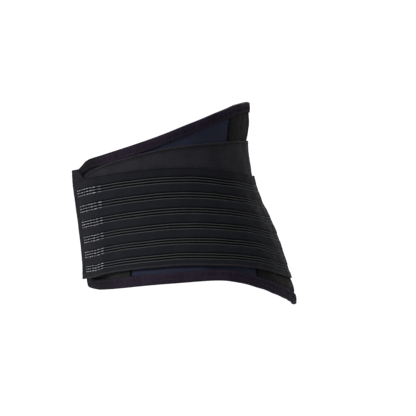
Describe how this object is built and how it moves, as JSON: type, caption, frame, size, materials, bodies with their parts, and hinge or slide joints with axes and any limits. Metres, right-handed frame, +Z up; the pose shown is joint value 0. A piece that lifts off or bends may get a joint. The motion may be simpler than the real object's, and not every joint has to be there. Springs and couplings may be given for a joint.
{
  "type": "lumbar support belt",
  "caption": "Wrap-around waist belt with a tall contoured back, a wide ribbed elastic band over it and overlapping front tabs that hold it closed round the lower back.",
  "frame": {"origin": "the middle of the waist hollow, about level with the middle of the outer band", "axes": "+Z up as worn, +X to the wearer's left, and the wearer faces -Y"},
  "size_m": [0.3094, 0.2354, 0.2125],
  "materials": {
    "loop_fabric": "brushed loop pile, dark grey-green, matt",
    "spacer_mesh": "knitted spacer mesh, dark navy, soft satin",
    "back_fabric": "knitted cloth over foam, brown-black, matt",
    "binding_tape": "folded knitted tape, purple-black, soft satin",
    "plain_elastic": "plain woven elastic with fine cross ribs, charcoal",
    "tab_fabric": "knitted cloth laminated to hook backing, black, matt",
    "ribbed_elastic": "woven elastic band with raised cord ribs, blue-black"
  },
  "bodies": {
    "root": {"front_panel_left": "loop_fabric", "front_panel_right": "loop_fabric", "side_panel_left": "spacer_mesh", "side_panel_right": "spacer_mesh", "back_panel": "back_fabric", "edge_binding": "binding_tape", "support_elastic": "plain_elastic", "front_tab_left": "tab_fabric", "front_tab_right": "tab_fabric", "outer_band": "ribbed_elastic"}
  },
  "joints": []
}
